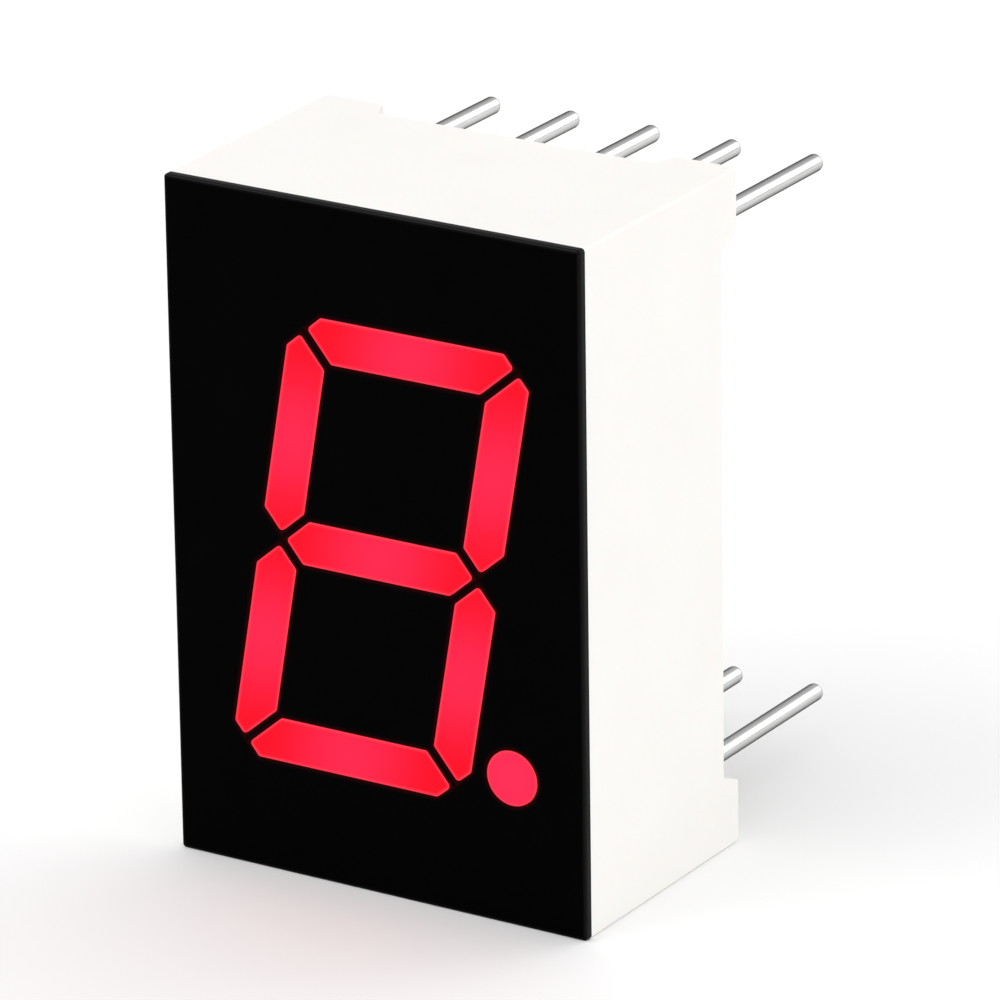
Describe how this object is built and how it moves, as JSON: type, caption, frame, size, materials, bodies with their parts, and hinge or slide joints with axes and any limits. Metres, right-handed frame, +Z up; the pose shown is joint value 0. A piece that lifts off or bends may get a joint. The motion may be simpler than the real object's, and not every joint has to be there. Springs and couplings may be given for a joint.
{
  "type": "seven segment display",
  "caption": "Upright box-shaped LED digit display: white moulded housing, black face with lit slanted segments and a decimal point, and two rows of straight round leads at the rear.",
  "frame": {"origin": "middle of the overall box, from the face to the lead tips, on the lower end that the display stands on", "axes": "+Z up along the digit, +Y from the face to the rear along the leads, +X to the right of someone who reads the face"},
  "size_m": [0.0126, 0.0142, 0.019],
  "materials": {
    "white_housing": "satin",
    "black_mask": "satin",
    "lit_resin": "satin",
    "led_chip": "satin",
    "gold_wire": "polished",
    "board_laminate": "satin",
    "copper": "satin",
    "solder": "satin",
    "tinned_lead": "satin",
    "sealing_resin": "gloss"
  },
  "bodies": {
    "root": {"reflector_housing": "white_housing", "face_mask": "black_mask", "segment_a": "lit_resin", "segment_b": "lit_resin", "segment_c": "lit_resin", "segment_d": "lit_resin", "segment_e": "lit_resin", "segment_f": "lit_resin", "segment_g": "lit_resin", "decimal_point": "lit_resin", "led_chip_a": "led_chip", "led_chip_b": "led_chip", "led_chip_c": "led_chip", "led_chip_d": "led_chip", "led_chip_e": "led_chip", "led_chip_f": "led_chip", "led_chip_g": "led_chip", "led_chip_dp": "led_chip", "bond_wire_a": "gold_wire", "bond_wire_b": "gold_wire", "bond_wire_c": "gold_wire", "bond_wire_d": "gold_wire", "bond_wire_e": "gold_wire", "bond_wire_f": "gold_wire", "bond_wire_g": "gold_wire", "bond_wire_dp": "gold_wire", "circuit_board": "board_laminate", "common_plane": "copper", "signal_tracks": "copper", "solder_joint_1": "solder", "solder_joint_2": "solder", "solder_joint_3": "solder", "solder_joint_4": "solder", "solder_joint_5": "solder", "solder_joint_6": "solder", "solder_joint_7": "solder", "solder_joint_8": "solder", "solder_joint_9": "solder", "solder_joint_10": "solder", "pin_1": "tinned_lead", "pin_2": "tinned_lead", "pin_3": "tinned_lead", "pin_4": "tinned_lead", "pin_5": "tinned_lead", "pin_6": "tinned_lead", "pin_7": "tinned_lead", "pin_8": "tinned_lead", "pin_9": "tinned_lead", "pin_10": "tinned_lead", "rear_resin": "sealing_resin"}
  },
  "joints": []
}
